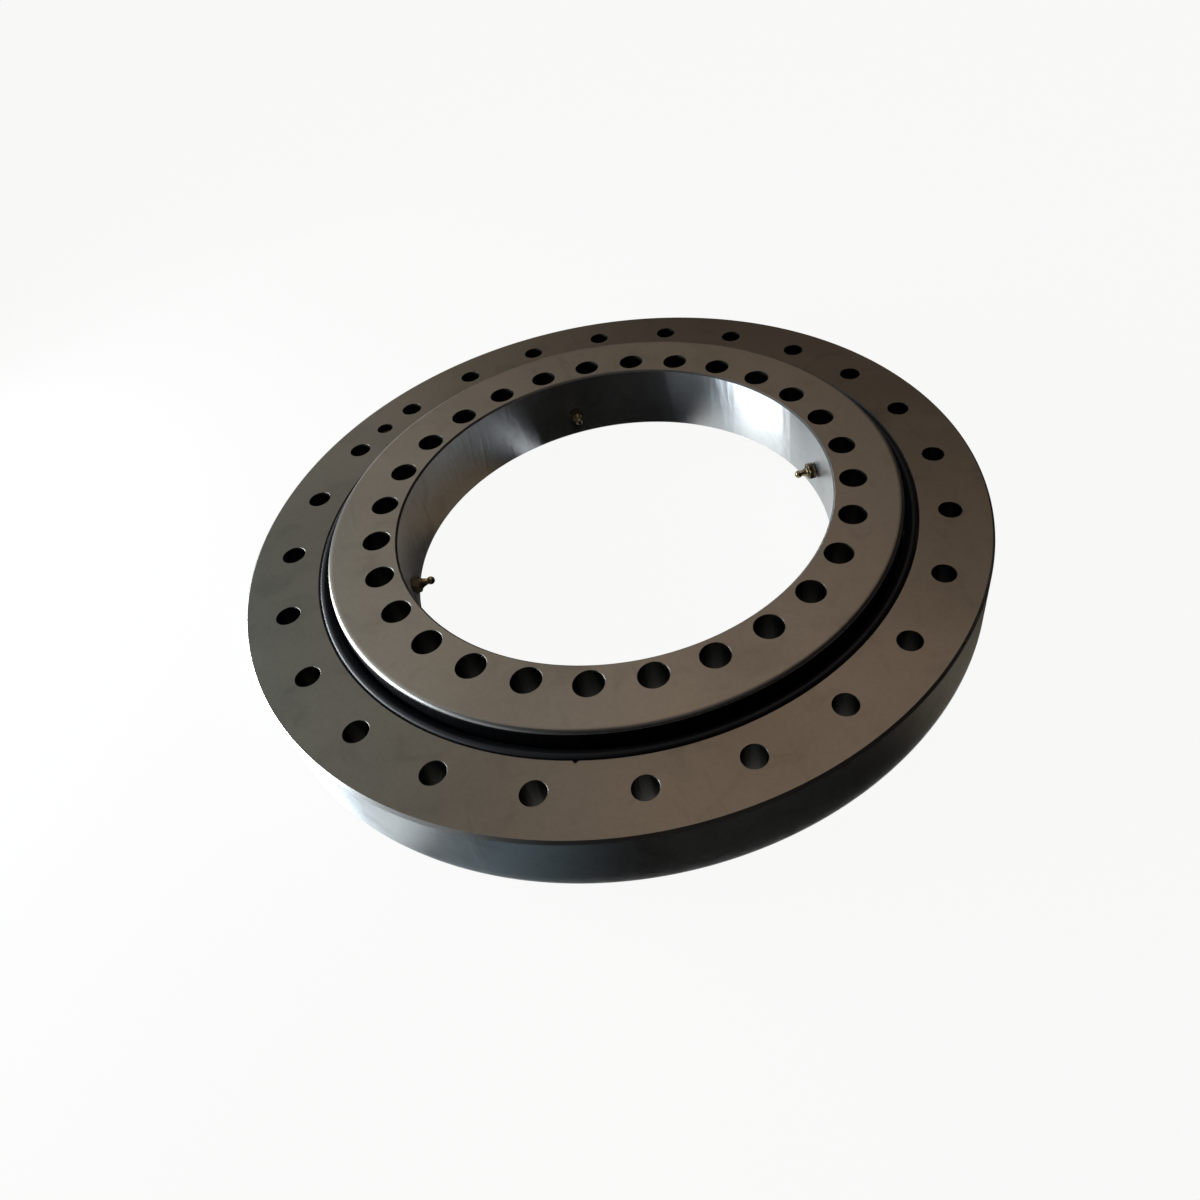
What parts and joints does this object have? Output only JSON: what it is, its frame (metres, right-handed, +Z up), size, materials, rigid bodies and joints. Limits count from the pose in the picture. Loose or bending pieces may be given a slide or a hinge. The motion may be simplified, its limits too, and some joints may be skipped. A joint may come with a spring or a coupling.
{
  "type": "slewing ring bearing",
  "caption": "Flat slewing ring bearing: two bolted steel rings without teeth, one ball row in a cage between them, lip seals on both faces, and grease nipples in the bore.",
  "frame": {"origin": "on the bearing's axis, at the lower face of the outer ring", "axes": "+Z up along the axis, towards the face where the inner ring stands proud; +X through one of the outer ring's bolt holes"},
  "size_m": [0.6054, 0.6054, 0.068],
  "materials": {
    "ring_steel": "turned and ground, thinly oiled",
    "ball_steel": "hardened and polished",
    "cage_steel": "bare strip",
    "black_rubber": "smooth",
    "brass": "dulled"
  },
  "bodies": {
    "fixed_ring": {"outer_ring": "ring_steel", "upper_seal": "black_rubber", "filling_plug": "ring_steel", "taper_pin": "ball_steel"},
    "turning_ring": {"inner_ring": "ring_steel", "lower_seal": "black_rubber", "grease_nipple_1": "brass", "grease_nipple_2": "brass", "grease_nipple_3": "brass", "grease_nipple_4": "brass"},
    "cage": {"ball_cage": "cage_steel"},
    "ball_01": {"ball_01": "ball_steel"},
    "ball_02": {"ball_02": "ball_steel"},
    "ball_03": {"ball_03": "ball_steel"},
    "ball_04": {"ball_04": "ball_steel"},
    "ball_05": {"ball_05": "ball_steel"},
    "ball_06": {"ball_06": "ball_steel"},
    "ball_07": {"ball_07": "ball_steel"},
    "ball_08": {"ball_08": "ball_steel"},
    "ball_09": {"ball_09": "ball_steel"},
    "ball_10": {"ball_10": "ball_steel"},
    "ball_11": {"ball_11": "ball_steel"},
    "ball_12": {"ball_12": "ball_steel"},
    "ball_13": {"ball_13": "ball_steel"},
    "ball_14": {"ball_14": "ball_steel"},
    "ball_15": {"ball_15": "ball_steel"},
    "ball_16": {"ball_16": "ball_steel"},
    "ball_17": {"ball_17": "ball_steel"},
    "ball_18": {"ball_18": "ball_steel"},
    "ball_19": {"ball_19": "ball_steel"},
    "ball_20": {"ball_20": "ball_steel"},
    "ball_21": {"ball_21": "ball_steel"},
    "ball_22": {"ball_22": "ball_steel"},
    "ball_23": {"ball_23": "ball_steel"},
    "ball_24": {"ball_24": "ball_steel"},
    "ball_25": {"ball_25": "ball_steel"},
    "ball_26": {"ball_26": "ball_steel"},
    "ball_27": {"ball_27": "ball_steel"},
    "ball_28": {"ball_28": "ball_steel"},
    "ball_29": {"ball_29": "ball_steel"},
    "ball_30": {"ball_30": "ball_steel"},
    "ball_31": {"ball_31": "ball_steel"},
    "ball_32": {"ball_32": "ball_steel"}
  },
  "joints": [
    {"name": "ring_turn", "type": "hinge", "parent": "fixed_ring", "child": "turning_ring", "pos_m": [0, 0, 0.03], "axis": [0, 0, 1], "continuous": true},
    {"name": "cage_turn", "type": "hinge", "parent": "fixed_ring", "child": "cage", "pos_m": [0, 0, 0.03], "axis": [0, 0, 1], "continuous": true},
    {"name": "ball_01_roll", "type": "hinge", "parent": "cage", "child": "ball_01", "pos_m": [0.237, 0, 0.03], "axis": [0, 0, 1], "continuous": true},
    {"name": "ball_02_roll", "type": "hinge", "parent": "cage", "child": "ball_02", "pos_m": [0.23245, 0.04624, 0.03], "axis": [0, 0, 1], "continuous": true},
    {"name": "ball_03_roll", "type": "hinge", "parent": "cage", "child": "ball_03", "pos_m": [0.21896, 0.0907, 0.03], "axis": [0, 0, 1], "continuous": true},
    {"name": "ball_04_roll", "type": "hinge", "parent": "cage", "child": "ball_04", "pos_m": [0.19706, 0.13167, 0.03], "axis": [0, 0, 1], "continuous": true},
    {"name": "ball_05_roll", "type": "hinge", "parent": "cage", "child": "ball_05", "pos_m": [0.16758, 0.16758, 0.03], "axis": [0, 0, 1], "continuous": true},
    {"name": "ball_06_roll", "type": "hinge", "parent": "cage", "child": "ball_06", "pos_m": [0.13167, 0.19706, 0.03], "axis": [0, 0, 1], "continuous": true},
    {"name": "ball_07_roll", "type": "hinge", "parent": "cage", "child": "ball_07", "pos_m": [0.0907, 0.21896, 0.03], "axis": [0, 0, 1], "continuous": true},
    {"name": "ball_08_roll", "type": "hinge", "parent": "cage", "child": "ball_08", "pos_m": [0.04624, 0.23245, 0.03], "axis": [0, 0, 1], "continuous": true},
    {"name": "ball_09_roll", "type": "hinge", "parent": "cage", "child": "ball_09", "pos_m": [0, 0.237, 0.03], "axis": [0, 0, 1], "continuous": true},
    {"name": "ball_10_roll", "type": "hinge", "parent": "cage", "child": "ball_10", "pos_m": [-0.04624, 0.23245, 0.03], "axis": [0, 0, 1], "continuous": true},
    {"name": "ball_11_roll", "type": "hinge", "parent": "cage", "child": "ball_11", "pos_m": [-0.0907, 0.21896, 0.03], "axis": [0, 0, 1], "continuous": true},
    {"name": "ball_12_roll", "type": "hinge", "parent": "cage", "child": "ball_12", "pos_m": [-0.13167, 0.19706, 0.03], "axis": [0, 0, 1], "continuous": true},
    {"name": "ball_13_roll", "type": "hinge", "parent": "cage", "child": "ball_13", "pos_m": [-0.16758, 0.16758, 0.03], "axis": [0, 0, 1], "continuous": true},
    {"name": "ball_14_roll", "type": "hinge", "parent": "cage", "child": "ball_14", "pos_m": [-0.19706, 0.13167, 0.03], "axis": [0, 0, 1], "continuous": true},
    {"name": "ball_15_roll", "type": "hinge", "parent": "cage", "child": "ball_15", "pos_m": [-0.21896, 0.0907, 0.03], "axis": [0, 0, 1], "continuous": true},
    {"name": "ball_16_roll", "type": "hinge", "parent": "cage", "child": "ball_16", "pos_m": [-0.23245, 0.04624, 0.03], "axis": [0, 0, 1], "continuous": true},
    {"name": "ball_17_roll", "type": "hinge", "parent": "cage", "child": "ball_17", "pos_m": [-0.237, 0, 0.03], "axis": [0, 0, 1], "continuous": true},
    {"name": "ball_18_roll", "type": "hinge", "parent": "cage", "child": "ball_18", "pos_m": [-0.23245, -0.04624, 0.03], "axis": [0, 0, 1], "continuous": true},
    {"name": "ball_19_roll", "type": "hinge", "parent": "cage", "child": "ball_19", "pos_m": [-0.21896, -0.0907, 0.03], "axis": [0, 0, 1], "continuous": true},
    {"name": "ball_20_roll", "type": "hinge", "parent": "cage", "child": "ball_20", "pos_m": [-0.19706, -0.13167, 0.03], "axis": [0, 0, 1], "continuous": true},
    {"name": "ball_21_roll", "type": "hinge", "parent": "cage", "child": "ball_21", "pos_m": [-0.16758, -0.16758, 0.03], "axis": [0, 0, 1], "continuous": true},
    {"name": "ball_22_roll", "type": "hinge", "parent": "cage", "child": "ball_22", "pos_m": [-0.13167, -0.19706, 0.03], "axis": [0, 0, 1], "continuous": true},
    {"name": "ball_23_roll", "type": "hinge", "parent": "cage", "child": "ball_23", "pos_m": [-0.0907, -0.21896, 0.03], "axis": [0, 0, 1], "continuous": true},
    {"name": "ball_24_roll", "type": "hinge", "parent": "cage", "child": "ball_24", "pos_m": [-0.04624, -0.23245, 0.03], "axis": [0, 0, 1], "continuous": true},
    {"name": "ball_25_roll", "type": "hinge", "parent": "cage", "child": "ball_25", "pos_m": [0, -0.237, 0.03], "axis": [0, 0, 1], "continuous": true},
    {"name": "ball_26_roll", "type": "hinge", "parent": "cage", "child": "ball_26", "pos_m": [0.04624, -0.23245, 0.03], "axis": [0, 0, 1], "continuous": true},
    {"name": "ball_27_roll", "type": "hinge", "parent": "cage", "child": "ball_27", "pos_m": [0.0907, -0.21896, 0.03], "axis": [0, 0, 1], "continuous": true},
    {"name": "ball_28_roll", "type": "hinge", "parent": "cage", "child": "ball_28", "pos_m": [0.13167, -0.19706, 0.03], "axis": [0, 0, 1], "continuous": true},
    {"name": "ball_29_roll", "type": "hinge", "parent": "cage", "child": "ball_29", "pos_m": [0.16758, -0.16758, 0.03], "axis": [0, 0, 1], "continuous": true},
    {"name": "ball_30_roll", "type": "hinge", "parent": "cage", "child": "ball_30", "pos_m": [0.19706, -0.13167, 0.03], "axis": [0, 0, 1], "continuous": true},
    {"name": "ball_31_roll", "type": "hinge", "parent": "cage", "child": "ball_31", "pos_m": [0.21896, -0.0907, 0.03], "axis": [0, 0, 1], "continuous": true},
    {"name": "ball_32_roll", "type": "hinge", "parent": "cage", "child": "ball_32", "pos_m": [0.23245, -0.04624, 0.03], "axis": [0, 0, 1], "continuous": true}
  ],
  "couplings": [
    {"joint": "cage_turn", "follows": "ring_turn", "ratio": 0.46835},
    {"joint": "ball_01_roll", "follows": "ring_turn", "ratio": -7.8684},
    {"joint": "ball_02_roll", "follows": "ring_turn", "ratio": -7.8684},
    {"joint": "ball_03_roll", "follows": "ring_turn", "ratio": -7.8684},
    {"joint": "ball_04_roll", "follows": "ring_turn", "ratio": -7.8684},
    {"joint": "ball_05_roll", "follows": "ring_turn", "ratio": -7.8684},
    {"joint": "ball_06_roll", "follows": "ring_turn", "ratio": -7.8684},
    {"joint": "ball_07_roll", "follows": "ring_turn", "ratio": -7.8684},
    {"joint": "ball_08_roll", "follows": "ring_turn", "ratio": -7.8684},
    {"joint": "ball_09_roll", "follows": "ring_turn", "ratio": -7.8684},
    {"joint": "ball_10_roll", "follows": "ring_turn", "ratio": -7.8684},
    {"joint": "ball_11_roll", "follows": "ring_turn", "ratio": -7.8684},
    {"joint": "ball_12_roll", "follows": "ring_turn", "ratio": -7.8684},
    {"joint": "ball_13_roll", "follows": "ring_turn", "ratio": -7.8684},
    {"joint": "ball_14_roll", "follows": "ring_turn", "ratio": -7.8684},
    {"joint": "ball_15_roll", "follows": "ring_turn", "ratio": -7.8684},
    {"joint": "ball_16_roll", "follows": "ring_turn", "ratio": -7.8684},
    {"joint": "ball_17_roll", "follows": "ring_turn", "ratio": -7.8684},
    {"joint": "ball_18_roll", "follows": "ring_turn", "ratio": -7.8684},
    {"joint": "ball_19_roll", "follows": "ring_turn", "ratio": -7.8684},
    {"joint": "ball_20_roll", "follows": "ring_turn", "ratio": -7.8684},
    {"joint": "ball_21_roll", "follows": "ring_turn", "ratio": -7.8684},
    {"joint": "ball_22_roll", "follows": "ring_turn", "ratio": -7.8684},
    {"joint": "ball_23_roll", "follows": "ring_turn", "ratio": -7.8684},
    {"joint": "ball_24_roll", "follows": "ring_turn", "ratio": -7.8684},
    {"joint": "ball_25_roll", "follows": "ring_turn", "ratio": -7.8684},
    {"joint": "ball_26_roll", "follows": "ring_turn", "ratio": -7.8684},
    {"joint": "ball_27_roll", "follows": "ring_turn", "ratio": -7.8684},
    {"joint": "ball_28_roll", "follows": "ring_turn", "ratio": -7.8684},
    {"joint": "ball_29_roll", "follows": "ring_turn", "ratio": -7.8684},
    {"joint": "ball_30_roll", "follows": "ring_turn", "ratio": -7.8684},
    {"joint": "ball_31_roll", "follows": "ring_turn", "ratio": -7.8684},
    {"joint": "ball_32_roll", "follows": "ring_turn", "ratio": -7.8684}
  ]
}
